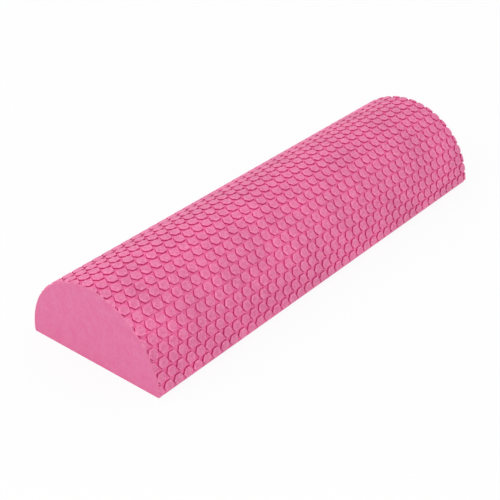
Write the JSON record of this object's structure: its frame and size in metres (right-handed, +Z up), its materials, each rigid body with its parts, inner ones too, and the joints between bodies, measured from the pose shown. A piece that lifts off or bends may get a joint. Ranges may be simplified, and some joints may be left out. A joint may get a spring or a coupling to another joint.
{
  "type": "half round foam roller",
  "caption": "Half round foam roller with a flat base, smooth flat ends and a curved side covered in staggered rows of raised hexagonal studs, for stretching, massage and balance work.",
  "frame": {"origin": "middle of the flat base", "axes": "+X along the roller, +Z up from the flat base to the crown, +Y across"},
  "size_m": [0.45, 0.1464, 0.073],
  "materials": {
    "moulded_foam": "moulded closed-cell EVA foam, satin skin with hexagonal studs",
    "cut_foam": "cut closed-cell EVA foam, matt with fine pores"
  },
  "bodies": {
    "root": {"studded_skin": "moulded_foam", "upper_core_slab": "cut_foam", "lower_core_slab": "cut_foam"}
  },
  "joints": []
}
